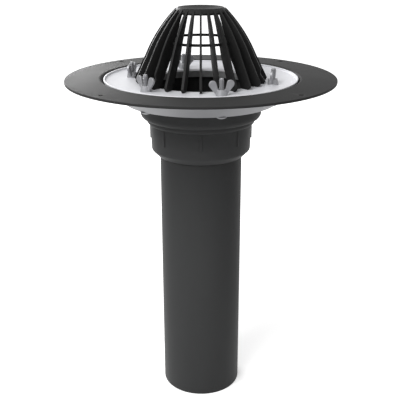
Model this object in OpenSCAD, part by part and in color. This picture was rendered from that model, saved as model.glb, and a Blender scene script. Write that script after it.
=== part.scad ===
// Flat roof drain: a clamped roof flange over a stepped plastic body, with a
// vertical DN 110 outlet pipe and a domed leaf guard.
// Millimetres, +Z up. Origin: centre of the outlet pipe's lower end.

/* [Outlet pipe] */
// Outside diameter of the outlet pipe
pipe_od = 110; // [90:1:125]
// Wall of the outlet pipe
pipe_wall = 4.2; // [2.7:0.1:6]
// Length of the outlet pipe
pipe_len = 391.5; // [200:0.5:600]
// Cut on the radius that sizes the pipe's upper end for the socket
spigot_cut = 0.6; // [0.2:0.1:1]
// Distance from the cap down to the end of that sized length
spigot_gap = 1; // [0.5:0.1:3]

/* [Socket] */
// Radial play between the pipe and its socket
pipe_play = 0.7; // [0.2:0.1:1]
// Gap between the pipe's upper end and its stop in the socket
stop_gap = 0.5; // [0.2:0.1:2]
// Wall of the socket tube
socket_wall = 4.9; // [3:0.1:6]
// Depth of the socket tube below the pipe stop
socket_depth = 25; // [20:1:40]
// Radial room for the seal between the socket tube and the cap
seal_room = 3.8; // [3:0.1:6]
// Height of the collar that centres the cap
collar_h = 8; // [5:1:12]
// Radial play between the collar and the cap
cap_play = 0.2; // [0.1:0.05:0.5]
// Height of the seal below the socket tube
seal_h = 7; // [6:0.5:12]
// Thickness of the seal's flange at the tube's end
seal_flange_t = 1.5; // [1:0.1:2.5]
// Height of the seal's lip where it bears on the pipe
lip_h = 2.5; // [1.5:0.1:3]

/* [Seal cap] */
// Wall of the seal cap
cap_wall = 3.6; // [2.5:0.1:5]
// Height of the seal cap
cap_h = 43.5; // [40:0.1:60]
// Slope of the cap's conical lower end
cap_cone_angle = 45; // [30:1:60]
// Radius between the cap's wall and its conical end
cap_round_r = 4; // [2:0.5:6]
// Width of the lip round the cap's mouth
mouth_lip_w = 1.8; // [1:0.1:3]
// Draft of the cap's outside, measured on the radius
cap_draft = 1.2; // [0.4:0.1:2]
// Number of grip ribs on the cap
rib_count = 8; // [4:1:16]
// Width of a grip rib
rib_w = 3.3; // [2:0.1:6]
// Height of a grip rib
rib_h = 21.5; // [10:0.5:26]
// How far a grip rib stands proud
rib_proud = 0.7; // [0.3:0.1:1.2]
// Radial play of the pipe in the cap's mouth
mouth_play = 0.6; // [0.4:0.1:1]

/* [Drain body] */
// Height from the pipe stop to the top of the deck
deck_rise = 50.1; // [48:0.1:80]
// Wall of the body's bowl
body_wall = 4; // [3:0.1:5]
// Radius of the upper rounded shoulder
bowl_round = 8; // [6:0.5:10]
// Radius of the lower rounded shoulder
neck_round = 5; // [3:0.5:6]
// Height of the straight neck between the two shoulders
neck_h = 2.3; // [1:0.1:5]
// How far the body's lower face is set back inside the cap's outside
cap_inset = 0.4; // [0:0.1:1]
// Slope height of the funnel floor above the outlet
funnel_h = 5; // [3:0.5:8]
// Height of the stop's edge round the outlet
stop_edge_h = 1; // [0.5:0.1:2]
// Radius of the corner between the bowl's wall and its floor
bowl_corner_r = 10; // [6:0.5:12]
// Thickness of the deck
deck_t = 3.5; // [3:0.1:5]
// How far the deck reaches beyond the bolt circle
deck_reach = 14; // [10:1:16]
// How far the deck's inner edge overhangs the bowl
deck_overhang = 6; // [3:0.5:8]
// Wall of the upstanding lip at the throat
lip_w = 1.6; // [1.2:0.1:2.5]
// Gap between the top of the lip and the top of the clamp ring
lip_gap = 0.3; // [0.1:0.1:1]
// Height from the underside of the bosses to the deck's top
boss_h = 18.5; // [14:0.5:22]
// Radius of a bolt boss
boss_r = 6.5; // [6:0.1:7]
// Height of the chamfer at the foot of a boss
boss_chamfer = 2.3; // [1:0.1:2.5]
// Thickness of a gusset under the deck
gusset_t = 2.5; // [1.5:0.1:4]
// Height by which a gusset stops short of the bosses' foot
gusset_rise = 5; // [2:0.5:8]
// Radial reach of a gusset's foot beyond the bolt circle
gusset_foot = 4; // [2:0.5:8]

/* [Bolts and wing nuts] */
// Number of clamp bolts
bolt_count = 6; // [4:1:8]
// Radial distance from the body's wall to the bolt circle
bolt_offset = 15; // [13:0.5:18]
// Angle of the first bolt from the front
bolt_start = 15; // [0:1:30]
// Diameter of the bolt
bolt_d = 6; // [5:0.5:8]
// Length of the bolt under its head
bolt_len = 46; // [42:0.5:60]
// Diameter of the domed head
head_d = 15; // [12:0.5:18]
// Height of the domed head
head_h = 3.4; // [2.5:0.1:5]
// Height of the square neck under the head
square_h = 3.5; // [2:0.1:5]
// Height of the rounded tip of a bolt
tip_h = 1; // [0.5:0.1:1.5]
// Radial play of a bolt in its holes
bolt_play = 0.3; // [0.2:0.05:0.6]
// Radial running clearance of a wing nut on its bolt
nut_play = 0.05; // [0.02:0.01:0.09]
// Gap between a wing nut and the clamp ring
nut_gap = 0.1; // [0.05:0.05:0.3]
// Diameter of a wing nut's hub at its seat
hub_d = 11.6; // [10:0.1:13]
// Diameter of a wing nut's hub at its top
hub_top_d = 9.6; // [8.6:0.1:10]
// Height of a wing nut's hub
hub_h = 7; // [5:0.1:9]
// Span over the tips of the two wings
wing_span = 31.4; // [28:0.1:31.5]
// Height of the wings above the seat
wing_h = 18; // [15:0.1:20]
// Radius of a wing's root at the hub's foot
root_r = 2.6; // [2:0.1:3]
// Radius of a wing's rounded lobe
lobe_r = 4.6; // [3.5:0.1:5]
// Thickness of a wing
wing_t = 2.8; // [2:0.1:4]

/* [Clamp ring] */
// Sheet thickness of the clamp ring
ring_t = 2; // [1.5:0.1:3]
// Radial play between the ring's bore and the lip
ring_play = 0.6; // [0.3:0.1:1.5]
// How far the flat of the ring reaches beyond the bolt circle
ring_flat_margin = 8; // [6:0.5:12]
// Width of the ring's cone
ring_cone_w = 22.3; // [15:0.1:30]
// Rise of the ring's cone
ring_cone_rise = 2.9; // [1:0.1:5]
// Height of the ring's upturned rim above its flat
ring_rim_h = 6.2; // [5.5:0.1:9]

/* [Roof flange] */
// Outside diameter of the roof flange
flange_d = 352; // [300:1:450]
// Thickness of the roof flange
flange_t = 3; // [2:0.1:4]
// Depth from the flange's rim to the seat of the clamp ring
flange_dish = 7.5; // [6.8:0.1:10]
// Angle of the step round the ring's rim
flange_step_angle = 78; // [65:1:82]
// Radial gap between the ring's rim and the step, at the level of the flange's flat
flange_step_gap = 1.6; // [1.4:0.1:3]
// Height of the bead at the head of the step above the flange's flat
bead_h = 0.5; // [0.2:0.1:1]
// Radial width of the bead's slope down to the flat
bead_w = 2.6; // [2.4:0.1:6]
// Radial play between the flange's bore and the lip
flange_play = 0.4; // [0.2:0.1:1]
// Number of fixing holes
fix_count = 4; // [3:1:12]
// Diameter of a fixing hole
fix_d = 6; // [4:0.1:9]
// Distance from the flange's edge to the fixing holes
fix_edge = 12; // [8:1:20]

/* [Gasket] */
// Radial width of the gasket
gasket_w = 11; // [6:0.5:12]
// Thickness of the gasket
gasket_t = 1.8; // [1:0.1:2.2]
// Radial distance from the lip to the gasket's groove
gasket_inset = 2.4; // [1.5:0.1:5]
// Radial play of the gasket in its groove
gasket_play = 0.2; // [0.1:0.05:0.5]

/* [Support dish] */
// Sheet thickness of the support dish
dish_t = 2; // [1.5:0.1:3]
// Radial play between the dish and the body
dish_play = 0.4; // [0.2:0.1:1]
// How far the dish's floor reaches beyond the bolt circle
dish_floor_margin = 4.9; // [4:0.1:5.5]
// Width of the dish's brim under the flange
dish_brim_w = 3; // [2:0.1:5]
// Radial distance from the brim's edge to the ring's outer edge
dish_brim_out = 1.3; // [0:0.1:1.5]

/* [Leaf guard] */
// Number of fins
fin_count = 24; // [16:1:30]
// Height of the guard above the clamp ring
guard_h = 93.5; // [80:0.5:120]
// Radius of the guard at its top
guard_top_r = 31; // [26:0.5:40]
// Radius of the curve along the fins
guard_curve_r = 184; // [140:1:300]
// Radial room between a fin's foot and the bolt circle
guard_nut_room = 12.8; // [12.6:0.1:14]
// Thickness of a fin at its foot
fin_foot_t = 3.2; // [2.5:0.1:4]
// Thickness of a fin at its top
fin_top_t = 2.4; // [2:0.1:3]
// Radial distance from the ring's bore to a fin's foot
foot_margin = 0.5; // [0.2:0.1:2]
// Radius of the rounded heel at a fin's foot
heel_r = 3; // [1.5:0.5:5]
// Height of the fins' waist, as a share of the guard's height
waist_share = 0.42; // [0.35:0.01:0.48]
// Radius inside that waist, as a share of the guard's radius at its foot
waist_in_share = 0.627; // [0.56:0.001:0.7]
// Height of the inner hoop, as a share of the guard's height
hoop_share = 0.56; // [0.52:0.01:0.62]
// Inside radius of the inner hoop, as a share of the guard's radius at its foot
hoop_in_share = 0.576; // [0.5:0.001:0.6]
// Radial width of the inner hoop
hoop_w = 3; // [2:0.1:4]
// Height of the inner hoop's section
hoop_h = 3.3; // [2:0.1:5]
// Height of the collar that holds the fins inside the skirt, below the cap's rim
fin_collar_h = 7.4; // [6:0.1:9]
// How far the collar's outside lies beyond the guard's radius at its top
fin_collar_out = 2.6; // [2:0.1:3]
// Wall of the collar
fin_collar_w = 2.6; // [2:0.1:3]
// Depth of the concave top of the cap
cup_depth = 5; // [3:0.5:6]
// Radius of the concave top of the cap
cup_r = 28.3; // [24:0.1:29]
// Thickness of the cap
crown_t = 2.5; // [2:0.1:4]
// Width of the land round the concave top
rim_w = 1; // [0.5:0.1:2]
// Height of the skirt below the cap's rim
skirt_h = 5.2; // [3:0.1:10]
// How far the fins stand proud of the skirt
fin_proud = 1.2; // [0.5:0.1:2]
// Height by which the fins stop short of the cap's rim
fin_top_drop = 1.4; // [0.5:0.1:3]

/* [Hidden] */
$fn = 96;
cut = 1;
slight_turn = 15;
bend_steps = 8;
rib_root = cap_wall / 3;

// Outlet pipe and socket, from the axis outwards
pipe_r = pipe_od / 2;
bore_r = pipe_r - pipe_wall;
spigot_r = pipe_r - spigot_cut;
socket_r = spigot_r + pipe_play;
tube_r = socket_r + socket_wall;
cap_in_r = tube_r + seal_room;
collar_r = cap_in_r - cap_play;
cap_r = cap_in_r + cap_wall;

// Drain body
neck_r = cap_r - cap_inset + neck_round;
body_r = neck_r + bowl_round;
bowl_r = body_r - body_wall;
throat_r = bowl_r - deck_overhang;
lip_r = throat_r + lip_w;

// Bolt circle
bolt_circle_r = body_r + bolt_offset;
bolt_r = bolt_d / 2;
bolt_hole_r = bolt_r + bolt_play;
deck_r = bolt_circle_r + deck_reach;
deck_root = (deck_t + gasket_t) / 2;

// Heights of the stack, from the pipe's lower end upwards
stop_z = pipe_len + stop_gap;
deck_z = stop_z + deck_rise;
flange_seat_z = deck_z + flange_t;
ring_top_z = flange_seat_z + ring_t;
flange_top_z = flange_seat_z + flange_dish;
dish_floor_z = deck_z - boss_h;
dish_under_z = dish_floor_z - dish_t;
tube_end_z = stop_z - socket_depth;
cap_z = stop_z - cap_h;

// Seal and cap
seal_z = tube_end_z - seal_h;
seal_hold_r = tube_r - 1;
mouth_r = socket_r + mouth_play;
cap_low_r = cap_r - cap_draft;
cap_cone_end = [mouth_r + mouth_lip_w, cap_z];
cap_cone_side = cap_round_r * [sin(cap_cone_angle), -cos(cap_cone_angle)];
cap_cone_top = along(cap_cone_end, cap_cone_angle, cap_low_r - cap_round_r + cap_cone_side[0]);
cap_round = cap_cone_top - cap_cone_side;

// Middle lines of the pressed sheets, as [radius, height]
cone_angle = atan2(ring_cone_rise, ring_cone_w);
ring_in_r = lip_r + ring_play;
ring_flat_r = bolt_circle_r + ring_flat_margin;
ring_rim_r = ring_flat_r + ring_cone_w;
ring_out_r = ring_rim_r + ring_t / 2;
ring_mid_z = ring_top_z - ring_t / 2;
ring_path = [
    [ring_in_r, ring_mid_z],
    [ring_flat_r, ring_mid_z],
    [ring_rim_r, ring_mid_z + ring_cone_rise],
    [ring_rim_r, ring_top_z + ring_rim_h - ring_t / 2]
];
ring_bend = 2;

flange_r = flange_d / 2;
flange_drop = (ring_t + flange_t) / 2;
flange_knee = [ring_flat_r + flange_drop * tan(cone_angle / 2), ring_mid_z - flange_drop];
flange_flat_z = flange_top_z - flange_t / 2;
flange_step = [ring_out_r + flange_step_gap + flange_t / 2, flange_flat_z];
flange_bead = flange_step + bead_h * [1 / tan(flange_step_angle), 1];
flange_path = [
    [lip_r + flange_play, flange_knee[1]],
    flange_knee,
    meet(flange_knee, cone_angle, flange_step, flange_step_angle),
    flange_bead,
    [flange_bead[0] + bead_w, flange_flat_z],
    [flange_r, flange_flat_z]
];
flange_bend = 2;
fix_circle_r = flange_r - fix_edge;

dish_drop = (flange_t + dish_t) / 2;
brim_line = [flange_knee[0] + dish_drop * tan(cone_angle / 2), flange_knee[1] - dish_drop];
dish_r = ring_out_r + dish_brim_out;
dish_path = [
    [body_r + dish_play, dish_floor_z - dish_t / 2],
    [bolt_circle_r + dish_floor_margin, dish_floor_z - dish_t / 2],
    along(brim_line, cone_angle, dish_r - dish_brim_w),
    along(brim_line, cone_angle, dish_r)
];
dish_bend = 2;

// Gasket groove in the deck
groove_in_r = lip_r + gasket_inset;
groove_r = groove_in_r + gasket_w + 2 * gasket_play;

// Leaf guard, measured from its seat on the clamp ring
guard_foot_r = bolt_circle_r - guard_nut_room;
guard_foot = [guard_foot_r, 0];
guard_crown = [guard_top_r, guard_h];
guard_chord = guard_crown - guard_foot;
guard_sagitta = sqrt(pow(guard_curve_r, 2) - pow(norm(guard_chord) / 2, 2));
guard_centre = (guard_foot + guard_crown) / 2
    - guard_sagitta * [guard_chord[1], -guard_chord[0]] / norm(guard_chord);
foot_in_r = ring_in_r + foot_margin;
waist_z = waist_share * guard_h;
waist_r = waist_in_share * guard_foot_r;
hoop_z = hoop_share * guard_h;
hoop_in_r = hoop_in_share * guard_foot_r;
fin_collar_r = guard_top_r + fin_collar_out;
fin_collar_z = guard_h - fin_collar_h;
cup_curve_r = (pow(cup_r, 2) + pow(cup_depth, 2)) / (2 * cup_depth);
cup_centre_z = guard_h - cup_depth + cup_curve_r;

// ---- Helpers ----

// Point on a sloping line through p, at radius r
function along(p, angle, r) = [r, p[1] + (r - p[0]) * tan(angle)];

// Where the line through p at angle a meets the line through q at angle b
function meet(p, a, q, b) =
    along(p, a, (q[1] - p[1] + p[0] * tan(a) - q[0] * tan(b)) / (tan(a) - tan(b)));

function unit(v) = v / norm(v);
function left_of(v) = [-v[1], v[0]];

// Angle through which a path turns at point i
function turn(path, i) =
    let (a = unit(path[i] - path[i - 1]), b = unit(path[i + 1] - path[i]))
    atan2(a[0] * b[1] - a[1] * b[0], a * b);

// Sideways step from point i of a path to the corner of a sheet's mitred edge
function mitre(path, i) =
    let (last = len(path) - 1,
         a = left_of(unit(path[max(i, 1)] - path[max(i, 1) - 1])),
         b = left_of(unit(path[min(i, last - 1) + 1] - path[min(i, last - 1)])))
    (a + b) / (1 + a * b);

function turned(v, a) = [v[0] * cos(a) - v[1] * sin(a), v[0] * sin(a) + v[1] * cos(a)];

// Points of bend i on one side of a sheet: side is 1 on the path's left and -1 on its right
function bend_arc(path, i, t, bend, side) =
    let (a = turn(path, i),
         d_in = unit(path[i] - path[i - 1]),
         d_out = unit(path[i + 1] - path[i]),
         centre = path[i] + unit(d_out - d_in) * bend / cos(a / 2),
         outward = -sign(a) * left_of(d_in),
         r = bend - side * sign(a) * t / 2)
    [for (k = [0 : bend_steps]) centre + turned(outward, a * k / bend_steps) * r];

// One side of a sheet along its path, with bends of more than slight_turn rounded
function sheet_side(path, t, bend, side) = [
    for (i = [0 : len(path) - 1])
        each (i > 0 && i < len(path) - 1 && abs(turn(path, i)) > slight_turn)
            ? bend_arc(path, i, t, bend, side)
            : [path[i] + side * mitre(path, i) * t / 2]
];
function reversed(list) = [for (i = [len(list) - 1 : -1 : 0]) list[i]];

// Half round on the free end of a sheet
function end_arc(path, t) =
    let (last = len(path) - 1, across = left_of(unit(path[last] - path[last - 1])) * t / 2)
    [for (k = [1 : bend_steps - 1]) path[last] + turned(across, -180 * k / bend_steps)];

// Round sheet of thickness t, revolved about the axis along its middle line
module revolved_sheet(path, t, bend, round_end = false) {
    rotate_extrude()
        polygon(concat(
            sheet_side(path, t, bend, 1),
            round_end ? end_arc(path, t) : [],
            reversed(sheet_side(path, t, bend, -1))
        ));
}

// Copies on the bolt circle: bolt i stands at bolt_start + i * pitch from the front
module at_bolt(i) {
    rotate([0, 0, bolt_start + i * 360 / bolt_count - 90])
        translate([bolt_circle_r, 0, 0]) children();
}
module at_all_bolts() {
    for (i = [0 : bolt_count - 1]) at_bolt(i) children();
}

// Round holes through everything on the bolt circle
module bolt_holes() {
    at_all_bolts()
        translate([0, 0, dish_under_z - cut])
            cylinder(r = bolt_hole_r, h = flange_top_z - dish_under_z + 2 * cut);
}

// Square holes for the bolts' necks, through the dish and into the bosses
module square_holes() {
    side = 2 * bolt_hole_r;
    at_all_bolts()
        translate([-side / 2, -side / 2, dish_under_z - cut])
            cube([side, side, square_h + bolt_play + cut]);
}

// Outline of two circles and their outer tangents
module tapered_link(c1, r1, c2, r2) {
    d = c2 - c1;
    base = atan2(d[1], d[0]);
    spread = acos((r1 - r2) / norm(d));
    u = [cos(base + spread), sin(base + spread)];
    v = [cos(base - spread), sin(base - spread)];
    translate(c1) circle(r = r1);
    translate(c2) circle(r = r2);
    polygon([c1 + r1 * u, c2 + r2 * u, c2 + r2 * v, c1 + r1 * v]);
}

// ---- Outlet pipe, seal and cap ----

module outlet_pipe() {
    color("#3d3f40")
        difference() {
            union() {
                cylinder(r = pipe_r, h = cap_z - spigot_gap);
                cylinder(r = spigot_r, h = pipe_len);
            }
            translate([0, 0, -cut]) cylinder(r = bore_r, h = pipe_len + 2 * cut);
        }
}

// Rubber ring with a lip that bears on the pipe
module socket_seal() {
    color("#1b1b1c")
        rotate_extrude()
            polygon([
                [seal_hold_r, seal_z],
                [cap_in_r, seal_z],
                [cap_in_r, tube_end_z],
                [seal_hold_r, tube_end_z],
                [seal_hold_r, tube_end_z - seal_flange_t],
                [spigot_r, seal_z + seal_flange_t],
                [spigot_r, seal_z + seal_flange_t - lip_h],
                [seal_hold_r, seal_z + lip_h]
            ]);
}

// Clip-on cap that keeps the seal in the socket
module seal_cap() {
    shelf_z = seal_z - cap_wall / 2;
    color("#3f4142") {
        rotate_extrude()
            difference() {
                union() {
                    polygon([
                        [mouth_r, cap_z],
                        cap_cone_end,
                        cap_cone_top,
                        cap_round,
                        [cap_low_r, cap_round[1]],
                        [cap_r, stop_z],
                        [mouth_r, stop_z]
                    ]);
                    translate(cap_round) circle(r = cap_round_r);
                }
                translate([0, seal_z]) square([cap_in_r, cap_h]);
                polygon([
                    [0, seal_z + cut],
                    [seal_hold_r, seal_z + cut],
                    [seal_hold_r, shelf_z],
                    [mouth_r, shelf_z - (seal_hold_r - mouth_r) * tan(cap_cone_angle)],
                    [0, shelf_z - (seal_hold_r - mouth_r) * tan(cap_cone_angle)]
                ]);
            }
        for (i = [0 : rib_count - 1])
            rotate([0, 0, i * 360 / rib_count - 90])
                translate([cap_low_r - rib_root, -rib_w / 2, stop_z - rib_h])
                    cube([cap_draft + rib_root + rib_proud, rib_w, rib_h]);
    }
}

// ---- Drain body ----

// Outside of the body, from the deck down to the socket tube
module body_outside() {
    bowl_bottom = -deck_rise + neck_round + neck_h + bowl_round;
    translate([0, bowl_bottom]) square([body_r, -bowl_bottom]);
    translate([neck_r, bowl_bottom]) circle(r = bowl_round);
    translate([0, -deck_rise + neck_round]) square([neck_r, neck_h + bowl_round]);
    translate([neck_r - neck_round, -deck_rise + neck_round]) circle(r = neck_round);
    translate([0, stop_z - deck_z]) square([neck_r - neck_round, neck_round]);
    translate([0, stop_z - deck_z - collar_h]) square([collar_r, collar_h + cut]);
    translate([0, tube_end_z - deck_z]) square([tube_r, socket_depth]);
    translate([0, -deck_t]) square([deck_r, deck_t]);
    translate([0, -deck_t]) square([lip_r, deck_t + flange_t + ring_t - lip_gap]);
}

// The way that the water takes, from the throat to the socket
module body_inside() {
    floor_z = -deck_rise + stop_edge_h + funnel_h;
    arc_z = floor_z + bowl_corner_r;
    translate([-cut, -deck_t - cut]) square([throat_r + cut, deck_t + flange_dish + 2 * cut]);
    translate([-cut, arc_z]) square([bowl_r + cut, -deck_t - arc_z]);
    translate([bowl_r - bowl_corner_r, arc_z]) circle(r = bowl_corner_r);
    translate([-cut, floor_z]) square([bowl_r - bowl_corner_r + cut, bowl_corner_r + cut]);
    polygon([
        [-cut, floor_z],
        [bowl_r - bowl_corner_r, floor_z],
        [bore_r, floor_z - funnel_h],
        [-cut, floor_z - funnel_h]
    ]);
    translate([-cut, -deck_rise - cut]) square([bore_r + cut, funnel_h + cut]);
    translate([-cut, tube_end_z - deck_z - cut]) square([socket_r + cut, socket_depth + cut]);
}

// Boss for one bolt, from the dish up into the deck
module bolt_boss() {
    cylinder(r1 = boss_r - boss_chamfer, r2 = boss_r, h = boss_chamfer);
    translate([0, 0, boss_chamfer]) cylinder(r = boss_r, h = boss_h - deck_root - boss_chamfer);
}

// Upright web between the bowl and the deck, in the plane y = 0
module gusset() {
    top = -deck_root;
    foot = gusset_rise - boss_h;
    translate([0, gusset_t / 2, 0])
        rotate([90, 0, 0])
            linear_extrude(gusset_t)
                polygon([
                    [body_r - body_wall / 2, top],
                    [deck_r - gusset_t, top],
                    [bolt_circle_r + gusset_foot, foot],
                    [body_r - body_wall / 2, foot]
                ]);
}

module drain_body() {
    color("#3a3c3d")
        difference() {
            union() {
                translate([0, 0, deck_z])
                    rotate_extrude()
                        difference() {
                            body_outside();
                            body_inside();
                            translate([groove_in_r, -gasket_t])
                                square([groove_r - groove_in_r, gasket_t + cut]);
                        }
                at_all_bolts() translate([0, 0, dish_floor_z]) bolt_boss();
                for (i = [0 : 2 * bolt_count - 1])
                    rotate([0, 0, bolt_start + (i + 0.5) * 180 / bolt_count - 90])
                        translate([0, 0, deck_z]) gusset();
            }
            bolt_holes();
            square_holes();
        }
}

module flange_gasket() {
    color("#1b1b1c")
        translate([0, 0, deck_z - gasket_t])
            difference() {
                cylinder(r = groove_r - gasket_play, h = gasket_t);
                translate([0, 0, -cut])
                    cylinder(r = groove_in_r + gasket_play, h = gasket_t + 2 * cut);
            }
}

// ---- Pressed and moulded rings ----

module roof_flange() {
    color("#5b5d5e")
        difference() {
            revolved_sheet(flange_path, flange_t, flange_bend);
            bolt_holes();
            for (i = [0 : fix_count - 1])
                rotate([0, 0, (i + 0.5) * 360 / fix_count])
                    translate([fix_circle_r, 0, flange_top_z - flange_t - cut])
                        cylinder(d = fix_d, h = flange_t + 2 * cut);
        }
}

module clamp_ring() {
    color("#d4d5d8")
        difference() {
            revolved_sheet(ring_path, ring_t, ring_bend, round_end = true);
            bolt_holes();
        }
}

// Pressed dish that takes the bolt heads and carries the flange's inner part
module support_dish() {
    color("#b9babd")
        difference() {
            revolved_sheet(dish_path, dish_t, dish_bend);
            square_holes();
        }
}

// ---- Fasteners ----

// One carriage bolt, its head's bearing face at z = 0
module carriage_bolt() {
    dome_curve = (pow(head_d / 2, 2) + pow(head_h, 2)) / (2 * head_h);
    rotate_extrude()
        intersection() {
            translate([0, dome_curve - head_h]) circle(r = dome_curve);
            translate([0, -head_h]) square([head_d / 2, head_h]);
        }
    translate([-bolt_d / 2, -bolt_d / 2, 0]) cube([bolt_d, bolt_d, square_h]);
    cylinder(r = bolt_r, h = bolt_len - tip_h);
    translate([0, 0, bolt_len - tip_h]) cylinder(r1 = bolt_r, r2 = bolt_r - tip_h, h = tip_h);
}

module carriage_bolts() {
    color("#a3a5a9")
        at_all_bolts() translate([0, 0, dish_under_z]) carriage_bolt();
}

// Forged wing nut: a conical hub and two splayed wings with round lobes
module wing_nut() {
    lobe = [wing_span / 2 - lobe_r, wing_h - lobe_r];
    color("#a9abaf")
        difference() {
            union() {
                cylinder(d1 = hub_d, d2 = hub_top_d, h = hub_h);
                rotate([90, 0, 0])
                    linear_extrude(wing_t, center = true)
                        for (side = [0, 1])
                            mirror([side, 0, 0])
                                tapered_link([hub_d / 2 - root_r, root_r], root_r, lobe, lobe_r);
            }
            translate([0, 0, -cut]) cylinder(r = bolt_r + nut_play, h = wing_h + 2 * cut);
        }
}

module placed_wing_nut(i) {
    at_bolt(i)
        translate([0, 0, ring_top_z + nut_gap])
            rotate([0, 0, 90]) wing_nut();
}

// ---- Leaf guard ----

// Side view of one fin, from the foot up under the cap
module fin_profile() {
    heel_reach = guard_curve_r - heel_r;
    heel_in = sqrt(pow(heel_reach, 2) - pow(heel_r - guard_centre[1], 2));
    heel = [guard_centre[0] + heel_in, heel_r];
    heel_dir = unit(heel - guard_centre);
    difference() {
        intersection() {
            translate(guard_centre) circle(r = guard_curve_r, $fn = 360);
            square([guard_foot_r, guard_h - fin_top_drop]);
        }
        polygon([
            [0, -cut],
            [foot_in_r, -cut],
            [foot_in_r, 0],
            [waist_r, waist_z],
            [hoop_in_r, hoop_z],
            [fin_collar_r, fin_collar_z],
            [fin_collar_r - fin_collar_w / 2, fin_collar_z],
            [fin_collar_r - fin_collar_w / 2, guard_h],
            [0, guard_h]
        ]);
        translate(heel)
            difference() {
                polygon([
                    [0, 0],
                    [0, -heel_r - cut],
                    [heel_r + cut, -heel_r - cut],
                    heel_dir * (heel_r + cut)
                ]);
                circle(r = heel_r);
            }
    }
}

module fin() {
    intersection() {
        rotate([90, 0, 0]) linear_extrude(fin_foot_t + cut, center = true) fin_profile();
        rotate([90, 0, 90])
            linear_extrude(guard_foot_r + cut)
                polygon([
                    [-fin_foot_t / 2, 0],
                    [fin_foot_t / 2, 0],
                    [fin_top_t / 2, guard_h],
                    [-fin_top_t / 2, guard_h]
                ]);
    }
}

// Cap with a concave top, a short skirt and the collar that holds the fins
module guard_cap() {
    rotate_extrude()
        difference() {
            union() {
                intersection() {
                    translate([0, cup_centre_z]) circle(r = cup_curve_r + crown_t, $fn = 180);
                    square([cup_r + rim_w, guard_h]);
                }
                intersection() {
                    translate(guard_centre) circle(r = guard_curve_r - fin_proud, $fn = 360);
                    translate([cup_r, guard_h - skirt_h]) square([guard_top_r, skirt_h]);
                }
                translate([fin_collar_r - fin_collar_w, fin_collar_z])
                    square([fin_collar_w, fin_collar_h - skirt_h + cut]);
            }
            translate([0, cup_centre_z]) circle(r = cup_curve_r, $fn = 180);
        }
}

module leaf_guard() {
    color("#1d1e1f")
        translate([0, 0, ring_top_z]) {
            for (i = [0 : fin_count - 1])
                rotate([0, 0, i * 360 / fin_count - 90]) fin();
            guard_cap();
            translate([0, 0, hoop_z - hoop_h / 2])
                difference() {
                    cylinder(r = hoop_in_r + hoop_w, h = hoop_h);
                    translate([0, 0, -cut]) cylinder(r = hoop_in_r, h = hoop_h + 2 * cut);
                }
        }
}

leaf_guard();
clamp_ring();
roof_flange();
flange_gasket();
support_dish();
drain_body();
seal_cap();
socket_seal();
outlet_pipe();
carriage_bolts();
placed_wing_nut(0);  // wing_nut_1
placed_wing_nut(1);  // wing_nut_2
placed_wing_nut(2);  // wing_nut_3
placed_wing_nut(3);  // wing_nut_4
placed_wing_nut(4);  // wing_nut_5
placed_wing_nut(5);  // wing_nut_6
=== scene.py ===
# %% [markdown]
# # A flat roof drain
# A roof drain lets rainwater through a flat roof. Water runs between the fins of the leaf guard,
# down through the clamp ring and the body, and away through the long outlet pipe. The roofing
# sheet is held between the black flange and the metal clamp ring, which six wing nuts press down.
#
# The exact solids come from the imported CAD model. This lesson gives them their finishes, models
# the pieces whose edges and surfaces need more care than the solids have, and lights the scene.

# %% Load the CAD model
import math

import bmesh
import bpy
from mathutils import Matrix, Vector


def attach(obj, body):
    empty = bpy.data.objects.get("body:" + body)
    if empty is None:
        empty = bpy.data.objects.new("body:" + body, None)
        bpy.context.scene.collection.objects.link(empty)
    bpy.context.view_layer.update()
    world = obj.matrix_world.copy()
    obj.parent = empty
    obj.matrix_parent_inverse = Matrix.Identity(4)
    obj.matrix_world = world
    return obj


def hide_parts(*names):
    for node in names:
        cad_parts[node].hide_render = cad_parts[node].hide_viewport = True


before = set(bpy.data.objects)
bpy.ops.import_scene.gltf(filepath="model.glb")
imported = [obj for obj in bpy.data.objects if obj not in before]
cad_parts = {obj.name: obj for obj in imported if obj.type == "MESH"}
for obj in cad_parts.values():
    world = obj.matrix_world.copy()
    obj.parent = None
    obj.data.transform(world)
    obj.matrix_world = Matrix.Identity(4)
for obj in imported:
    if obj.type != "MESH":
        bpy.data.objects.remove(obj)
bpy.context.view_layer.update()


def deselect():
    """Leave nothing selected and nothing active, because an operator acts on what is."""
    for obj in bpy.context.selected_objects:
        obj.select_set(False)
    bpy.context.view_layer.objects.active = None


deselect()

# %% [markdown]
# ## Camera
# The drain is seen from the front and a little above, from about a metre away. That is close
# enough for the flange's near edge to look larger than its far edge. A longer lens from further
# off would flatten it, so the distance matters as much as the angle.

# %% Camera
CAMERA_PLACE = Vector((0.0, -0.940, 0.6303))
CAMERA_DOWN = math.radians(20.42)
CAMERA_ROLL = math.radians(-0.10)
LENS_MM = 65.02
SENSOR_MM = 36
SIDE_SHIFT = -0.0026

tilt = Matrix.Rotation(math.radians(90) - CAMERA_DOWN, 3, "X")
roll = Matrix.Rotation(CAMERA_ROLL, 3, "Z")
bpy.ops.object.camera_add(location=CAMERA_PLACE, rotation=(tilt @ roll).to_euler())
camera = bpy.context.object
camera.name = "camera"
camera.data.lens = LENS_MM
camera.data.sensor_width = SENSOR_MM
camera.data.shift_x = SIDE_SHIFT
bpy.context.scene.camera = camera
bpy.context.scene.view_settings.view_transform = "Standard"
print("camera", tuple(round(v, 3) for v in camera.location), "lens", camera.data.lens)

# %% [markdown]
# ## Shader maths
# A material is a graph of nodes. Written out one by one, even a small sum takes a dozen lines,
# so two small classes keep it readable. `Wire` wraps an output and turns `a * 0.5 + b` into Math
# nodes. `Finish` is one material, and its `node` method makes every other kind of node.


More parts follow.
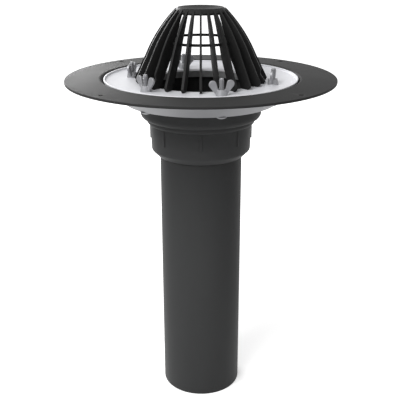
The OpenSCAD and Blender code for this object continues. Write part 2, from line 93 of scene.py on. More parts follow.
# %% Wire and Finish
class Wire:
    """An output socket that can be used in sums."""

    def __init__(self, finish, socket):
        self.finish = finish
        self.socket = socket

    def math(self, operation, *others, swap=False):
        """A Math node of that operation; swap puts the other value first."""
        parts = [self, *others][:: -1 if swap else 1]
        values = dict(enumerate(parts))
        return self.finish.node("ShaderNodeMath", {"operation": operation}, values)

    def __add__(self, other):
        return self.math("ADD", other)

    def __radd__(self, other):
        return self.math("ADD", other, swap=True)

    def __sub__(self, other):
        return self.math("SUBTRACT", other)

    def __rsub__(self, other):
        return self.math("SUBTRACT", other, swap=True)

    def __mul__(self, other):
        return self.math("MULTIPLY", other)

    def __rmul__(self, other):
        return self.math("MULTIPLY", other, swap=True)


class Finish:
    """One material with a Principled shader, built node by node."""

    def __init__(self, name, **constants):
        self.material = bpy.data.materials.new(name)
        self.material.use_nodes = True
        self.tree = self.material.node_tree
        self.shader = self.tree.nodes["Principled BSDF"]
        for socket, value in constants.items():
            self.shader.inputs[socket.replace("_", " ")].default_value = value

    def node(self, kind, settings=None, values=None, output=0):
        """Any node: its settings are set first, then each input gets a value or a link."""
        made = self.tree.nodes.new(kind)
        for key, value in (settings or {}).items():
            setattr(made, key, value)
        for key, value in (values or {}).items():
            self.feed(made.inputs[key], value)
        return Wire(self, made.outputs[output])

    def feed(self, socket, value):
        """Link a wire to an input, or write a constant on it."""
        if isinstance(value, Wire):
            self.tree.links.new(value.socket, socket)
        else:
            socket.default_value = value

    def feed_shader(self, **inputs):
        for key, value in inputs.items():
            self.feed(self.shader.inputs[key.replace("_", " ")], value)

    def place(self):
        """Object coordinates, in metres."""
        return self.node("ShaderNodeTexCoord", output="Object")

    def scaled_place(self, scale):
        """Object coordinates times a scale, to stretch or flatten a pattern."""
        return self.node("ShaderNodeMapping", values={"Vector": self.place(), "Scale": scale})

    def from_axis(self):
        """Distance from the drain's axis, in metres."""
        flat = self.scaled_place((1, 1, 0))
        settings = {"operation": "LENGTH"}
        return self.node("ShaderNodeVectorMath", settings, {0: flat}, output="Value")

    def height(self):
        """Height above the floor, in metres."""
        return self.node("ShaderNodeSeparateXYZ", values={0: self.place()}, output="Z")

    def noise(self, scale, detail=2.0, stretch=(1, 1, 1)):
        values = {"Vector": self.scaled_place(stretch), "Scale": scale, "Detail": detail}
        return self.node("ShaderNodeTexNoise", values=values)

    def band(self, value, low, high):
        """0 below low and 1 above high, with a smooth step between."""
        values = {"Value": value, "From Min": low, "From Max": high}
        settings = {"interpolation_type": "SMOOTHSTEP"}
        return self.node("ShaderNodeMapRange", settings, values)

    def blend(self, factor, colour_a, colour_b):
        """From colour a where the factor is 0 to colour b where it is 1."""
        settings = {"data_type": "RGBA"}
        values = {0: factor, 6: colour_a, 7: colour_b}
        return self.node("ShaderNodeMix", settings, values, output=2)

    def bump(self, height, depth, strength=1.0):
        """Normals of a surface that a pattern raises by up to a depth, in metres."""
        values = {"Height": height, "Distance": depth, "Strength": strength}
        return self.node("ShaderNodeBump", values=values)


def grey(level, tint=(1.0, 1.0, 1.0)):
    """A colour of that linear level, pulled a little towards a tint."""
    return (level * tint[0], level * tint[1], level * tint[2], 1.0)


print("shader helpers ready")

# %% [markdown]
# ## Moulded plastic
# The body and the seal cap are injection moulded in dark grey plastic. Such a surface is never one
# flat grey: the tool leaves a fine satin grain, and the melt leaves faint flow marks. Both are
# noise, one very fine for the bump and one slow for colour and roughness.
#
# The lip round the body's throat is made light grey: a mask from the distance to the axis and the
# height lays that colour on the body's plastic, in place of a separate piece.


# %% Moulded plastic
COOL = (0.985, 1.0, 1.01)


def moulded_plastic(name, level, roughness):
    """Dark plastic with a grain; its finish is returned, so that more can be laid on it."""
    finish = Finish(name, Specular_IOR_Level=0.04)
    flow = finish.noise(14, 3, stretch=(1, 1, 2.5))
    grain = finish.noise(2600, 2)
    finish.colour = finish.blend(flow, grey(level * 0.86, COOL), grey(level * 1.14, COOL))
    finish.feed_shader(
        Base_Color=finish.colour,
        Roughness=flow * 0.12 + (roughness - 0.06),
        Normal=finish.bump(grain, 0.00004, 0.6),
    )
    return finish


LIP_GREY = grey(0.36, COOL)
body_finish = moulded_plastic("body plastic", 0.048, 0.50)
inside_lip = 1 - body_finish.band(body_finish.from_axis(), 0.0710, 0.0714)
on_lip = inside_lip * body_finish.band(body_finish.height(), 0.4383, 0.4387)
body_finish.feed_shader(Base_Color=body_finish.blend(on_lip, body_finish.colour, LIP_GREY))
body_plastic = body_finish.material
cap_plastic = moulded_plastic("cap plastic", 0.056, 0.48).material
print("made", body_plastic.name, "and", cap_plastic.name)

# %% [markdown]
# ## Extruded plastic
# The outlet pipe is extruded, so its marks run along it: the die draws fine straight lines, and
# the wall varies slowly round the pipe. Noise stretched along Z gives both.

# %% Pipe plastic
pipe_finish = Finish("pipe plastic", Specular_IOR_Level=0.05)
die_lines = pipe_finish.noise(420, 2, stretch=(1, 1, 0.01))
wall_waves = pipe_finish.noise(16, 2, stretch=(1, 1, 0.25))
pipe_finish.feed_shader(
    Base_Color=pipe_finish.blend(wall_waves, grey(0.042, COOL), grey(0.051, COOL)),
    Roughness=wall_waves * 0.1 + die_lines * 0.08 + 0.40,
    Normal=pipe_finish.bump(die_lines, 0.00006, 0.5),
)
pipe_plastic = pipe_finish.material
print("made", pipe_plastic.name)

# %% [markdown]
# ## The flange's finish
# The roof flange is a flat plastic ring with a fine leather grain, so that the roofing sheet bonds
# to it. The grain is a small cell pattern, and handling leaves it slightly smoother in patches.

# %% Flange plastic
flange_finish = Finish("flange plastic", Specular_IOR_Level=0.05)
cells = flange_finish.node(
    "ShaderNodeTexVoronoi",
    {"feature": "SMOOTH_F1"},
    {"Vector": flange_finish.place(), "Scale": 900.0},
)
patches = flange_finish.noise(22, 3)
flange_finish.feed_shader(
    Base_Color=flange_finish.blend(patches, grey(0.025), grey(0.031)),
    Roughness=patches * 0.10 + 0.52,
    Normal=flange_finish.bump(cells, 0.00005, 0.35),
)
flange_plastic = flange_finish.material
print("made", flange_plastic.name)

# %% [markdown]
# ## Gloss plastic
# The leaf guard is moulded in black plastic that is glossier than the rest. Its tool leaves almost
# no grain, only the slow waviness of a thin wall that shrank as it cooled. A roughness that varies
# a little keeps the highlights on the fins long and slightly uneven.

# %% Guard plastic
guard_finish = Finish("guard plastic", Specular_IOR_Level=0.10)
shrinkage = guard_finish.noise(70, 2)
smudges = guard_finish.noise(30, 4)
guard_finish.feed_shader(
    Base_Color=guard_finish.blend(smudges, grey(0.011), grey(0.016)),
    Roughness=smudges * 0.14 + 0.40,
    Normal=guard_finish.bump(shrinkage, 0.0004, 0.25),
)
guard_plastic = guard_finish.material
print("made", guard_plastic.name)

# %% [markdown]
# ## Sheet metal
# The clamp ring and the support dish are pressed from light sheet with a bright, slightly milky
# surface. Pressing leaves faint rings round the axis. The distance from the axis, broken up by a
# little noise, drives a very fine wave for them.


# %% Sheet metal
STEEL = (0.985, 0.99, 1.03)


def sheet_metal(name, level, roughness, metallic):
    """Milky pale sheet with the faint rings that pressing leaves."""
    finish = Finish(name, Specular_IOR_Level=0.2, Metallic=metallic)
    wobble = finish.noise(40, 2)
    rings = (finish.from_axis() * 9000 + wobble * 14).math("SINE") * 0.5 + 0.5
    cloud = finish.noise(18, 3)
    finish.feed_shader(
        Base_Color=finish.blend(cloud, grey(level * 0.93, STEEL), grey(level * 1.03, STEEL)),
        Roughness=cloud * 0.14 + rings * 0.03 + (roughness - 0.08),
        Normal=finish.bump(rings, 0.00001, 0.3),
    )
    return finish.material


ring_metal = sheet_metal("ring metal", 0.67, 0.40, 0.08)
dish_metal = sheet_metal("dish metal", 0.30, 0.45, 0.12)
print("made", ring_metal.name, "and", dish_metal.name)

# %% [markdown]
# ## Zinc and rubber
# The bolts and the wing nuts are forged steel with a thin zinc plating, which shows as soft
# blotches of shine. The gasket and the socket seal are plain black rubber, dull and slightly dusty.

# %% Zinc and rubber
zinc_finish = Finish("zinc plating", Metallic=0.6)
blotches = zinc_finish.noise(260, 3)
forging = zinc_finish.noise(900, 2)
zinc_finish.feed_shader(
    Base_Color=zinc_finish.blend(blotches, grey(0.27, STEEL), grey(0.36, STEEL)),
    Roughness=blotches * 0.16 + 0.42,
    Normal=zinc_finish.bump(forging, 0.00008, 0.35),
)
zinc = zinc_finish.material

rubber_finish = Finish("rubber", Specular_IOR_Level=0.3)
dust = rubber_finish.noise(120, 4)
rubber_finish.feed_shader(
    Base_Color=rubber_finish.blend(dust, grey(0.008), grey(0.016)),
    Roughness=dust * 0.15 + 0.7,
    Normal=rubber_finish.bump(rubber_finish.noise(1800, 2), 0.00005, 0.4),
)
rubber = rubber_finish.material
print("made", zinc.name, "and", rubber.name)

# %% [markdown]
# ## Working by hand, in code
# Every new piece below is made with the tools that a person uses in edit mode. A few helpers keep
# the steps readable. `pen` draws a line of points by extruding one vertex again and again. `pick`
# selects by place, as a box or circle selection would. `finish_piece` gives the result its finish
# and ties it to the body of the CAD model that it moves with.

# %% Drawing helpers
MM = 0.001
SAME_SPOT = 1e-6


def in_mm(*values):
    """A vector from lengths in millimetres."""
    return Vector(values) * MM


def pen(name, outline, closed=False):
    """Draw points (radius, height) in the XZ plane and stay in edit mode with all selected."""
    deselect()
    bpy.ops.mesh.primitive_plane_add(size=MM, location=(0, 0, 0))
    bpy.context.object.name = name
    bpy.ops.object.mode_set(mode="EDIT")
    bpy.ops.mesh.select_mode(type="VERT")
    bpy.ops.mesh.merge(type="CENTER")
    path = [in_mm(radius, 0, height) for radius, height in outline]
    bpy.ops.transform.translate(value=path[0])
    for here, there in zip(path, path[1:] + path[:1] * closed):
        bpy.ops.mesh.extrude_region_move(TRANSFORM_OT_translate={"value": there - here})
    bpy.ops.mesh.select_all(action="SELECT")
    bpy.ops.mesh.remove_doubles(threshold=SAME_SPOT)
    return bpy.context.object


def centre(part):
    """Middle of a vertex, an edge or a face, in millimetres."""
    spots = [part.co] if isinstance(part, bmesh.types.BMVert) else [v.co for v in part.verts]
    return sum(spots, Vector()) / len(spots) / MM


def pick(kind, test):
    """In edit mode, select only the vertices, edges or faces whose middle passes a test."""
    bpy.ops.mesh.select_mode(type=kind)
    bpy.ops.mesh.select_all(action="DESELECT")
    mesh = bmesh.from_edit_mesh(bpy.context.object.data)
    parts = {"VERT": mesh.verts, "EDGE": mesh.edges, "FACE": mesh.faces}[kind]
    for part in parts:
        if test(centre(part)):
            part.select_set(True)
    mesh.select_flush_mode()
    bmesh.update_edit_mesh(bpy.context.object.data)


print("drawing helpers ready")

# %% [markdown]
# ## Turning and finishing
# Round pieces are turned: the line is spun round the drain's axis, and the last station is merged
# with the first, so that no seam stays open. Modifiers are applied at once, which leaves plain
# meshes, and the object of a finished piece stays at the origin with its place in its mesh.

# %% Turning and finishing helpers
def face_outwards():
    """In edit mode, turn every face of a closed mesh outwards."""
    bpy.ops.mesh.select_all(action="SELECT")
    bpy.ops.mesh.normals_make_consistent(inside=False)


def turn(steps=144):
    """Spin the drawn line once round the axis, close the seam and leave edit mode."""
    bpy.ops.mesh.select_all(action="SELECT")
    bpy.ops.mesh.spin(steps=steps, angle=math.radians(360), center=(0, 0, 0), axis=(0, 0, 1))
    bpy.ops.mesh.select_all(action="SELECT")
    bpy.ops.mesh.remove_doubles(threshold=SAME_SPOT)
    face_outwards()
    bpy.ops.object.mode_set(mode="OBJECT")


def modify(kind, **settings):
    """Add a modifier to the active object and apply it at once."""
    obj = bpy.context.object
    modifier = obj.modifiers.new(kind.lower(), kind)
    for key, value in settings.items():
        setattr(modifier, key, value)
    bpy.ops.object.modifier_apply(modifier=modifier.name)


def soften(width, segments=3, angle=35):
    """Round every edge that is sharper than an angle."""
    modify(
        "BEVEL",
        width=width * MM,
        segments=segments,
        limit_method="ANGLE",
        angle_limit=math.radians(angle),
        use_clamp_overlap=True,
    )


def cut_away(tool):
    """Take the tool's volume out of the active object, and throw the tool away."""
    modify("BOOLEAN", object=tool, operation="DIFFERENCE", solver="EXACT")
    bpy.data.objects.remove(tool)


def join(pieces):
    """Make several objects one."""
    deselect()
    for piece in pieces:
        piece.select_set(True)
    bpy.context.view_layer.objects.active = pieces[0]
    bpy.ops.object.join()
    return bpy.context.object


def copies_round(piece, angles):
    """The piece and its copies at these angles round the axis, each with its own mesh."""
    made = []
    for angle in angles:
        deselect()
        piece.select_set(True)
        bpy.context.view_layer.objects.active = piece
        bpy.ops.object.duplicate(linked=False)
        copy = bpy.context.object
        copy.data.transform(Matrix.Rotation(math.radians(angle), 4, "Z"))
        made.append(copy)
    bpy.data.objects.remove(piece)
    return made


def finish_piece(piece, material, nodes, body="drain", smooth=32):
    """Smooth the piece, give it its finish and let it stand for CAD nodes."""
    deselect()
    piece.select_set(True)
    bpy.context.view_layer.objects.active = piece
    bpy.ops.object.shade_smooth_by_angle(angle=math.radians(smooth))
    piece.data.materials.clear()
    piece.data.materials.append(material)
    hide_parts(*nodes)
    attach(piece, body)
    print("made", piece.name, "with", len(piece.data.polygons), "faces")


print("turning helpers ready")

# %% [markdown]
# ## One fin of the leaf guard
# The fins are the part one notices first: long blades that stand on the clamp ring and lean in to
# the cap. Each is thicker at its foot than at its top, because it must slide out of the mould. The
# fin is drawn as a strip: one edge at the foot, extruded upwards station by station and scaled to
# the fin's width there. Solidify gives it a thickness, and each station is then scaled to its
# draft. A bevel rounds the long edges, which is where the gloss plastic catches the light.
#
# The outer edge bends in an arc above and flares out straight to the foot below. Six fins stand
# right behind the wing nuts. Their feet are scalloped, so that the wings can turn past them.

# %% Sizes of the fins
SEAT_Z = 447.1
GUARD_H = 93.5
ARC_FOOT_R = 82.2
CROWN_R = 31.0
CURVE_R = 184.0
FLARE_TOP_Z = 35.0
FLARE_SLOPE = 0.497
HEEL = [(0.0, 83.2), (2.2, 85.2), (4.5, 86.2)]
SCALLOP = [(0.0, 83.2), (2.0, 85.0), (3.2, 85.4), (4.5, 84.7), (7.0, 82.7), (10.0, 80.3)]
SCALLOP += [(12.0, 79.0), (14.5, 78.7), (17.0, 79.4), (19.0, 79.05)]
FIN_FOOT_T = 3.2
FIN_TOP_T = 2.4
FIN_TOP_Z = 92.1
FIN_COUNT = 24

chord = Vector((CROWN_R - ARC_FOOT_R, GUARD_H))
sagitta = math.sqrt(CURVE_R**2 - (chord.length / 2) ** 2)
arc_centre = (
    Vector((ARC_FOOT_R, 0)) + chord / 2 - sagitta * Vector((chord.y, -chord.x)).normalized()
)


def between(corners, height):
    """Radius at a height on a line of (height, radius) corners, or None above it."""
    for (low, r_low), (high, r_high) in zip(corners, corners[1:]):
        if height <= high:
            return r_low + (r_high - r_low) * (height - low) / (high - low)
    return None


def arc_r(height):
    """Radius of the arc that the fins' outer edges follow."""
    return arc_centre.x + math.sqrt(CURVE_R**2 - (height - arc_centre.y) ** 2)


def fin_outside(height, foot=HEEL):
    """Radius of the outer edge: the heel, then the straight flare, then the arc."""
    if height <= foot[-1][0]:
        return between(foot, height)
    if height < FLARE_TOP_Z:
        return arc_r(FLARE_TOP_Z) + FLARE_SLOPE * (FLARE_TOP_Z - height)
    return arc_r(height)


INSIDE = [(0, 72.7), (39.27, 51.54), (52.36, 47.35), (86.1, 33.6), (86.2, 32.3), (95, 32.3)]


def fin_inside(height):
    """Radius of the inner edge, straight between its corners."""
    return between(INSIDE, height)


STATIONS = [0, 1.1, 2.2, 3.2, 4.5, 7, 10, 12, 14.5, 17, 19, 24, 29, 35, 39.27, 46, 52.36, 60, 68]
STATIONS += [76, 82, 86.1, 86.2, 89, FIN_TOP_Z]
print("fin widths", [round(fin_outside(z) - fin_inside(z), 1) for z in STATIONS])

# %% Draw the two fins
def draw_fin(name, foot):
    """One fin towards +X, with that line of (height, radius) corners as its foot."""
    blade = pen(name, [(fin_inside(0), SEAT_Z), (fin_outside(0, foot), SEAT_Z)])
    for low, high in zip(STATIONS, STATIONS[1:]):
        middle_low, middle_high = (
            in_mm((fin_inside(z) + fin_outside(z, foot)) / 2, 0, SEAT_Z + z) for z in (low, high)
        )
        width_low, width_high = (fin_outside(z, foot) - fin_inside(z) for z in (low, high))
        step = middle_high - middle_low
        widening = (width_high / width_low, 1, 1)
        bpy.ops.mesh.extrude_region_move(TRANSFORM_OT_translate={"value": step})
        bpy.ops.transform.resize(value=widening, center_override=middle_high)
    bpy.ops.object.mode_set(mode="OBJECT")
    modify("SOLIDIFY", thickness=FIN_FOOT_T * MM, offset=0)

    bpy.ops.object.mode_set(mode="EDIT")
    for station in STATIONS:
        draft = 1 - (1 - FIN_TOP_T / FIN_FOOT_T) * station / GUARD_H
        pick("VERT", lambda spot: abs(spot.z - SEAT_Z - station) < 0.01)
        bpy.ops.transform.resize(value=(1, draft, 1), center_override=(0, 0, 0))
    face_outwards()
    bpy.ops.object.mode_set(mode="OBJECT")
    soften(0.7, angle=45)
    print(name, len(blade.data.polygons), "faces")
    return blade


fin = draw_fin("fin", HEEL)
scalloped_fin = draw_fin("scalloped_fin", SCALLOP)

# %% [markdown]
# ## The guard's cap and hoop
# The cap has a concave top, a short skirt that the fins pass through, and a collar inside it. The
# hoop ties the fins together half way up. Both are turned shapes: their section is drawn as a line
# of points and spun round the axis.

# %% Cap and hoop
CUP_R = 28.3
CUP_DEPTH = 5.0
CROWN_T = 2.5
SKIRT_H = 5.2
FIN_PROUD = 1.2
cup_curve = (CUP_R**2 + CUP_DEPTH**2) / (2 * CUP_DEPTH)


def crown_height(at, thickness):
    """Height of the concave top, or of a face that lies that much below it."""
    low_point = GUARD_H - CUP_DEPTH + cup_curve
    return low_point - math.sqrt((cup_curve + thickness) ** 2 - at**2)


def skirt_r(height):
    """Radius of the cap's skirt, a little inside the fins' outer edges."""
    reach = CURVE_R - FIN_PROUD
    return arc_centre.x + math.sqrt(reach**2 - (height - arc_centre.y) ** 2)


top_face = [(CUP_R * i / 10, crown_height(CUP_R * i / 10, 0)) for i in range(11)]
skirt_face = [(skirt_r(GUARD_H - SKIRT_H * i / 4), GUARD_H - SKIRT_H * i / 4) for i in range(5)]
collar_face = [(33.6, 88.3), (33.6, 86.1), (31.0, 86.1), (31.0, 88.3), (CUP_R, 88.3)]
under_face = [(CUP_R * i / 10, crown_height(CUP_R * i / 10, CROWN_T)) for i in range(10, -1, -1)]
cap_section = top_face + skirt_face + collar_face + under_face
cap = pen("guard_cap", [(r, SEAT_Z + z) for r, z in cap_section])
turn()
soften(0.5)

HOOP_R, HOOP_Z, HOOP_W, HOOP_H = 47.35, 50.71, 3.0, 3.3
hoop_section = [(HOOP_R, HOOP_Z), (HOOP_R + HOOP_W, HOOP_Z)]
hoop_section += [(HOOP_R + HOOP_W, HOOP_Z + HOOP_H), (HOOP_R, HOOP_Z + HOOP_H)]
hoop = pen("guard_hoop", [(r, SEAT_Z + z) for r, z in hoop_section], closed=True)
turn()
soften(0.8)
print("cap", len(cap.data.polygons), "faces, hoop", len(hoop.data.polygons), "faces")

# %% Whole leaf guard
FIN_PITCH = 360 / FIN_COUNT
nut_fins = [3 + 4 * i for i in range(6)]
plain_fins = [i for i in range(FIN_COUNT) if i not in nut_fins]
fins = copies_round(fin, [i * FIN_PITCH for i in plain_fins])
fins += copies_round(scalloped_fin, [i * FIN_PITCH for i in nut_fins])
guard = join([cap, hoop, *fins])
guard.name = "leaf_guard_moulding"
finish_piece(guard, guard_plastic, ["leaf_guard"])

# %% [markdown]
# ## Pressed sheet: clamp ring, roof flange and support dish
# All three are sheets pressed to a round form, so they have one wall thickness and rounded bends.
# The middle line of the sheet is drawn, its corners are rounded with a vertex bevel, the line is
# spun, and Solidify gives the thickness to both sides. Rounding the corners before the spin keeps
# the wall even through the bends, which bevelling the finished solid would not.


# %% Pressed sheet
def pressed(name, line, thickness, bends, edge):
    """A round pressed sheet; bends are corner numbers with their setback."""
    sheet = pen(name, line)
    for number, setback in bends.items():
        corner = in_mm(line[number][0], 0, line[number][1]) / MM
        pick("VERT", lambda spot: (spot - corner).length < 0.05)
        bpy.ops.mesh.bevel(offset=setback * MM, segments=6, affect="VERTICES")
    turn()
    modify("SOLIDIFY", thickness=thickness * MM, offset=0, use_even_offset=True)
    bpy.ops.object.mode_set(mode="EDIT")
    face_outwards()
    bpy.ops.object.mode_set(mode="OBJECT")
    soften(edge, angle=50)
    return sheet


BOLT_CIRCLE_R = 95.0
BOLT_HOLE_R = 3.3
BOLT_ANGLES = [15 + 60 * i - 90 for i in range(6)]


def drills(angles, at, size, low, high, sides=32):
    """A set of drills, or square punches if sides is 4, round the axis."""
    made = []
    for angle in angles:
        turned = math.radians(angle)
        bpy.ops.mesh.primitive_cylinder_add(
            vertices=sides,
            radius=size * MM,
            depth=(high - low) * MM,
            location=in_mm(at * math.cos(turned), at * math.sin(turned), (low + high) / 2),
            rotation=(0, 0, turned + math.radians(45) * (sides == 4)),
        )
        made.append(bpy.context.object)
    drill = join(made)
    deselect()
    return drill


def drill_out(sheet, drill):
    """Take the drills out of a piece that need not be the active one."""
    deselect()
    sheet.select_set(True)
    bpy.context.view_layer.objects.active = sheet
    cut_away(drill)


print("bolts stand at", BOLT_ANGLES)

# %% Clamp ring
ring_line = [(72.2, 446.1), (103.0, 446.1), (125.3, 449.0), (125.3, 452.6)]
ring = pressed("clamp_ring_sheet", ring_line, 2.0, {2: 1.75}, 0.5)
drill_out(ring, drills(BOLT_ANGLES, BOLT_CIRCLE_R, BOLT_HOLE_R, 440, 460))
finish_piece(ring, ring_metal, ["clamp_ring"])

# %% Roof flange
SCREW_CIRCLE_R = 164.0
SCREW_HOLE_R = 3.0
flange_line = [(72.0, 443.6), (103.16, 443.6), (127.8, 446.8)]
flange_line += [(130.9, 451.9), (134.2, 451.1), (176.0, 451.1)]
flange = pressed("roof_flange_sheet", flange_line, 3.0, {2: 1.2, 3: 1.5}, 0.5)
drill_out(flange, drills(BOLT_ANGLES, BOLT_CIRCLE_R, BOLT_HOLE_R, 435, 460))
drill_out(flange, drills([45, 135, 225, 315], SCREW_CIRCLE_R, SCREW_HOLE_R, 440, 460))
finish_piece(flange, flange_plastic, ["roof_flange"])

# %% Support dish
dish_line = [(80.4, 422.6), (99.9, 422.6), (124.6, 443.87), (127.6, 444.26)]
dish = pressed("support_dish_sheet", dish_line, 2.0, {1: 0.73, 2: 0.58}, 0.35)
square_corner = BOLT_HOLE_R * math.sqrt(2)
drill_out(dish, drills(BOLT_ANGLES, BOLT_CIRCLE_R, square_corner, 418, 426, sides=4))
finish_piece(dish, dish_metal, ["support_dish"])

# %% [markdown]
# ## Seal cap and outlet pipe
# The seal cap clips over the socket. Its eight grip ribs are blocks sunk into the wall, and its
# lower end is a cone that leads in to the pipe. The pipe is a plain extruded tube, cut a little
# smaller at its upper end where it enters the drain's own socket.

# %% Seal cap
ROUND_R, ROUND_AT, ROUND_Z = 4, 62.2, 358.86
round_turns = [math.radians(angle) for angle in (-45, -34, -22, -11, 0)]
cone_round = [
    (ROUND_AT + ROUND_R * math.cos(a), ROUND_Z + ROUND_R * math.sin(a)) for a in round_turns
]
cap_line = [(55.7, 348.5), (57.5, 348.5), *cone_round, (67.4, 392.0), (63.8, 392.0)]
cap_line += [(63.8, 360.0), (59.0, 360.0), (59.0, 358.2), (55.7, 354.9)]
seal_cap = pen("seal_cap_wall", cap_line, closed=True)
turn()
soften(0.5)

deselect()
bpy.ops.mesh.primitive_cube_add(size=1, location=in_mm(66.55, 0, 381.25))
rib = bpy.context.object
rib.dimensions = in_mm(3.1, 3.3, 21.5)
bpy.ops.object.transform_apply(location=True, rotation=True, scale=True)
soften(0.4)
ribs = copies_round(rib, [45 * i for i in range(8)])
seal_cap = join([seal_cap, *ribs])
seal_cap.name = "seal_cap_ribbed"
finish_piece(seal_cap, cap_plastic, ["seal_cap"])

# %% Outlet pipe
PIPE_R = 55.0
PIPE_BORE_R = 50.8
SPIGOT_R = 54.4
PIPE_LEN = 391.5
pipe_line = [(PIPE_BORE_R, 0), (SPIGOT_R, 0), (PIPE_R, 1.6), (PIPE_R, 347.5), (SPIGOT_R, 347.5)]
pipe_line += [(SPIGOT_R, PIPE_LEN), (PIPE_BORE_R, PIPE_LEN)]
pipe = pen("outlet_pipe_tube", pipe_line, closed=True)
turn()
soften(0.15, segments=2)
finish_piece(pipe, pipe_plastic, ["outlet_pipe"])

# %% [markdown]
# ## Carriage bolts
# A carriage bolt has a domed head, a square neck that stops it turning and a threaded shank. The
# head and core are turned. The thread is a small triangle carried up a helix by the Screw
# modifier, one millimetre a turn, which is the pitch of an M6 thread.

# %% One bolt: head, shank and neck
HEAD_Z = 421.6
HEAD_R = 7.5
HEAD_H = 3.4
BOLT_R = 3.0
BOLT_LEN = 46.0
CORE_R = 2.45
THREAD_Z = 21
dome_curve = (HEAD_R**2 + HEAD_H**2) / (2 * HEAD_H)
dome_low = HEAD_Z - HEAD_H + dome_curve
dome_stops = [HEAD_R * i / 8 for i in range(9)]
dome = [(r, dome_low - math.sqrt(dome_curve**2 - r**2)) for r in dome_stops]
shank = [(BOLT_R, 0), (BOLT_R, THREAD_Z), (CORE_R, THREAD_Z + 0.6)]
shank += [(CORE_R, BOLT_LEN - 0.6), (1.9, BOLT_LEN), (0, BOLT_LEN)]
bolt_core = pen("bolt_core", dome + [(r, HEAD_Z + z) for r, z in shank])
turn(steps=32)
soften(0.2, segments=2, angle=50)

deselect()
bpy.ops.mesh.primitive_cube_add(size=1, location=in_mm(0, 0, HEAD_Z + 1.75))
neck = bpy.context.object
neck.dimensions = in_mm(6.0, 6.0, 3.5)
bpy.ops.object.transform_apply(location=True, rotation=True, scale=True)
soften(0.3)

# %% Thread and six places
TOOTH_ROOT_R = 2.3
tooth_stops = [(TOOTH_ROOT_R, 0.03), (BOLT_R, 0.43), (BOLT_R, 0.57), (TOOTH_ROOT_R, 0.97)]
tooth = [(r, HEAD_Z + THREAD_Z + z) for r, z in tooth_stops]
thread = pen("bolt_thread", tooth, closed=True)
bpy.ops.object.mode_set(mode="OBJECT")
one_turn = {"angle": math.radians(360), "screw_offset": MM, "steps": 20, "render_steps": 20}
modify("SCREW", iterations=23, **one_turn)
bpy.ops.object.mode_set(mode="EDIT")
bpy.ops.mesh.select_all(action="SELECT")
bpy.ops.mesh.remove_doubles(threshold=SAME_SPOT)
bpy.ops.mesh.select_mode(type="EDGE")
bpy.ops.mesh.select_all(action="DESELECT")
bpy.ops.mesh.select_non_manifold(extend=False, use_wire=False, use_multi_face=False)
bpy.ops.mesh.fill_holes(sides=4)
face_outwards()
bpy.ops.object.mode_set(mode="OBJECT")
bolt = join([bolt_core, neck, thread])
bolt.data.transform(Matrix.Translation(in_mm(BOLT_CIRCLE_R, 0, 0)))
bolts = join(copies_round(bolt, BOLT_ANGLES))
bolts.name = "threaded_carriage_bolts"
finish_piece(bolts, zinc, ["carriage_bolts"], smooth=25)

# %% [markdown]
# ## Wing nuts
# A wing nut is forged, so nothing on it is sharp: the wings flow out of the hub and end in round
# lobes. Hard shapes are made first: a wing is the hull of two round plates, mirrored to the other
# side, and the hub is a cone. A voxel remesh melts them into one skin, smoothing rounds the skin,
# and the flat seat and the bore are cut last, so that they stay crisp.

# %% One wing nut
NUT_Z = 447.2
HUB_H = 7.0
HUB_SUNK = 0.8
WING_T = 2.7
NUT_BORE_R = 3.06


def disc(at, height, size):
    """A round plate across the Y axis, at a distance from the nut's axis and a height."""
    bpy.ops.mesh.primitive_cylinder_add(
        vertices=40,
        radius=size * MM,
        depth=WING_T * MM,
        location=in_mm(at, 0, height),
        rotation=(math.radians(90), 0, 0),
    )
    return bpy.context.object


deselect()
wing = join([disc(6.3, 4.3, 2.5), disc(11.1, 13.4, 4.6)])
bpy.ops.object.transform_apply(location=True, rotation=True, scale=True)
bpy.ops.object.mode_set(mode="EDIT")
bpy.ops.mesh.select_all(action="SELECT")
bpy.ops.mesh.convex_hull(delete_unused=True, use_existing_faces=False, join_triangles=True)
bpy.ops.object.mode_set(mode="OBJECT")
modify("MIRROR", use_axis=(True, False, False), use_mirror_merge=False)

bpy.ops.mesh.primitive_cone_add(
    vertices=64,
    radius1=7.2 * MM,
    radius2=6.0 * MM,
    depth=(HUB_H + HUB_SUNK) * MM,
    location=in_mm(0, 0, (HUB_H - HUB_SUNK) / 2),
)
hub = bpy.context.object
nut = join([hub, wing])
bpy.ops.object.transform_apply(location=True, rotation=True, scale=True)
modify("REMESH", mode="VOXEL", voxel_size=0.3 * MM)
modify("SMOOTH", factor=0.5, iterations=7)
print("nut skin", len(nut.data.polygons), "faces")

# %% Seat, bore and six places
bpy.ops.object.mode_set(mode="EDIT")
bpy.ops.mesh.select_all(action="SELECT")
bpy.ops.mesh.bisect(plane_co=(0, 0, 0), plane_no=(0, 0, 1), use_fill=True, clear_inner=True)
bpy.ops.object.mode_set(mode="OBJECT")
deselect()
bpy.ops.mesh.primitive_cylinder_add(vertices=48, radius=NUT_BORE_R * MM, depth=40 * MM)
drill_out(nut, bpy.context.object)
wings_across = Matrix.Rotation(math.radians(90), 4, "Z")
nut.data.transform(Matrix.Translation(in_mm(BOLT_CIRCLE_R, 0, NUT_Z)) @ wings_across)
for number, placed in enumerate(copies_round(nut, BOLT_ANGLES), 1):
    placed.name = f"forged_wing_nut_{number}"
    finish_piece(placed, zinc, [f"wing_nut_{number}"], body=f"wing_nut_{number}", smooth=40)

# %% [markdown]
# ## Dress the solids
# The drain body, the gasket and the socket seal keep the mesh of the CAD model, because their
# solids are already as fine as they need to be. A CAD node keeps its mesh and only changes what
# its material slots hold. The nodes that a new piece stands for are dressed in the same way.

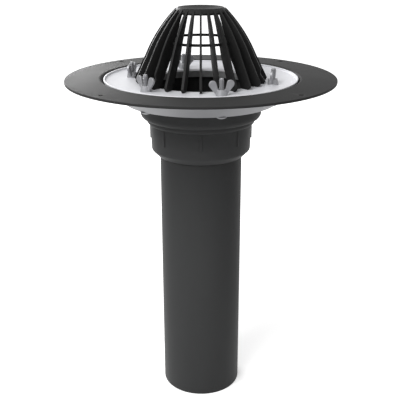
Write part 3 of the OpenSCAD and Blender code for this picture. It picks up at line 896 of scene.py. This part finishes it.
# %% Dress the solids
finishes = {
    "leaf_guard": guard_plastic,
    "clamp_ring": ring_metal,
    "roof_flange": flange_plastic,
    "flange_gasket": rubber,
    "support_dish": dish_metal,
    "drain_body": body_plastic,
    "seal_cap": cap_plastic,
    "socket_seal": rubber,
    "outlet_pipe": pipe_plastic,
    "carriage_bolts": zinc,
}
for node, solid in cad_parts.items():
    for slot in solid.material_slots:
        slot.material = finishes.get(node, zinc)
print("dressed", len(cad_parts), "solids")

# %% [markdown]
# ## Floor and backdrop
# The drain stands on a plain white floor. A floor that was only bright for the camera would lose
# the shadow, so its material keeps a plain white diffuse surface and adds a little light that only
# the camera and reflections see. There is more of it far from the drain, where the lamps fade out.

# %% Floor
bpy.ops.mesh.primitive_plane_add(size=14, location=(0, 0, -0.0002))
floor = bpy.context.object
floor.name = "floor"


def seen_rays(finish):
    """1 on a ray from the camera, a mirror or a glass, and 0 on a ray that only lights things."""
    path = finish.tree.nodes.new("ShaderNodeLightPath")
    kinds = ("Is Camera Ray", "Is Glossy Ray", "Is Transmission Ray")
    camera_ray, glossy_ray, glass_ray = [Wire(finish, path.outputs[kind]) for kind in kinds]
    return camera_ray.math("MAXIMUM", glossy_ray).math("MAXIMUM", glass_ray)


floor_finish = Finish("white floor", Roughness=0.9, Specular_IOR_Level=0.0)
floor_finish.feed_shader(Base_Color=grey(0.8), Emission_Color=grey(1.0))
far = floor_finish.band(floor_finish.from_axis(), 0.3, 1.4)
floor_light = seen_rays(floor_finish) * (far * 0.5 + 0.5)
floor_finish.feed_shader(Emission_Strength=floor_light)
floor.data.materials.append(floor_finish.material)
print("floor", floor.name)

# %% [markdown]
# ## World
# The sky is plain white. What the camera or a shiny surface sees of it has full strength, so that
# the backdrop is white, but it lights the drain only weakly, which leaves the lamps in charge of
# the light and the shade.

# %% World
world = bpy.data.worlds.new("studio")
world.use_nodes = True
bpy.context.scene.world = world


class Studio(Finish):
    """The world's node tree, with the same helpers."""

    def __init__(self, target):
        self.tree = target.node_tree
        self.shader = self.tree.nodes["Background"]


studio = Studio(world)
SKY_LEVEL = 0.32
sky_light = seen_rays(studio) * (1.0 - SKY_LEVEL) + SKY_LEVEL
studio.feed_shader(Color=grey(1.0), Strength=sky_light)
print("sky level", SKY_LEVEL)

# %% [markdown]
# ## Lamps
# Soft light comes from a large panel on the left and a weaker one on the right. A third panel,
# behind on the left, shows as the sheen that brightens the left end of the flange.


# %% Lamps
def panel(name, place, aim, size, power):
    """A square area lamp at a place, turned to face a point."""
    bpy.ops.object.light_add(type="AREA", location=place)
    lamp = bpy.context.object
    lamp.name = name
    lamp.data.shape = "RECTANGLE"
    lamp.data.size, lamp.data.size_y = size
    lamp.data.energy = power
    facing = Vector(aim) - Vector(place)
    lamp.rotation_euler = facing.to_track_quat("-Z", "Y").to_euler()
    return lamp


middle = (0, 0, 0.35)
panel("key", (-0.9, -1.1, 1.9), middle, (1.4, 1.4), 48)
panel("fill", (1.6, -1.0, 0.9), middle, (1.4, 1.4), 1)
panel("sheen", (-0.85, 1.5, 0.9), (0, 0, 0.45), (1.0, 0.9), 22)

# %% [markdown]
# ## Finish

# %% Finish: leave nothing selected
deselect()
